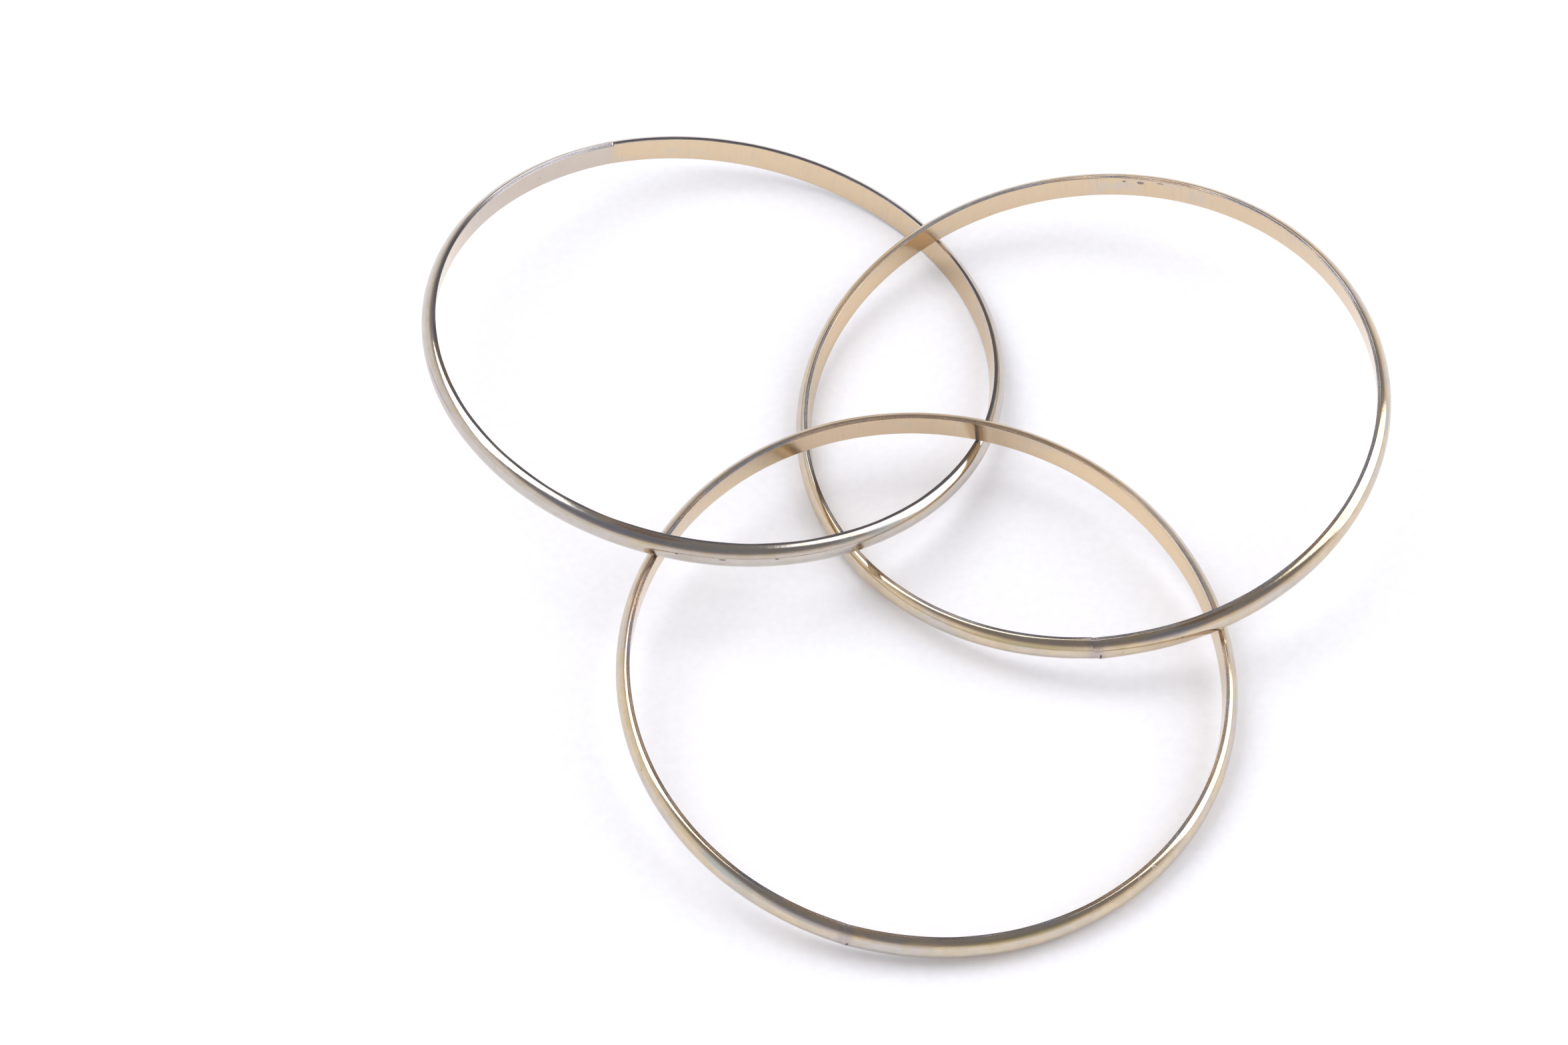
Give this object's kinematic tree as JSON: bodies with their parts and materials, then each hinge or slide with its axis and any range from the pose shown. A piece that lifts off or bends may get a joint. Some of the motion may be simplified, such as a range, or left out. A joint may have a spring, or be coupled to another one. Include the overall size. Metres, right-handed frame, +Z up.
{
  "type": "interlocking bangle hoops",
  "caption": "Thin round metal bangle hoops linked through one another, lying loosely fanned out; domed outside, flat inside, each soldered at one butt joint.",
  "frame": {"origin": "middle of the ground the three hoops cover, at the height of the surface they lie on", "axes": "+Z up, +Y towards the back of the group, away from the front hoop, +X towards the right hoop"},
  "size_m": [0.1104, 0.113, 0.0146],
  "materials": {
    "plated_brass": "worn polished plating, silvery on the domes and warm gold inside, with hairline scratches and small pits",
    "hard_solder": "dull, slightly dark line filed just below the strip"
  },
  "bodies": {
    "front_ring": {"front_hoop": "plated_brass", "front_hoop_solder": "hard_solder"},
    "left_ring": {"left_hoop": "plated_brass", "left_hoop_solder": "hard_solder"},
    "right_ring": {"right_hoop": "plated_brass", "right_hoop_solder": "hard_solder"}
  },
  "joints": [
    {"name": "left_ring_lift", "type": "hinge", "parent": "front_ring", "child": "left_ring", "pos_m": [0.0015, 0.0183, 0.004], "axis": [-0.309, 0.9511, 0], "range_deg": [0, 70]},
    {"name": "right_ring_lift", "type": "hinge", "parent": "front_ring", "child": "right_ring", "pos_m": [-0.0035, 0.0083, 0.0042], "axis": [0.309, -0.9511, 0], "range_deg": [0, 70]}
  ]
}
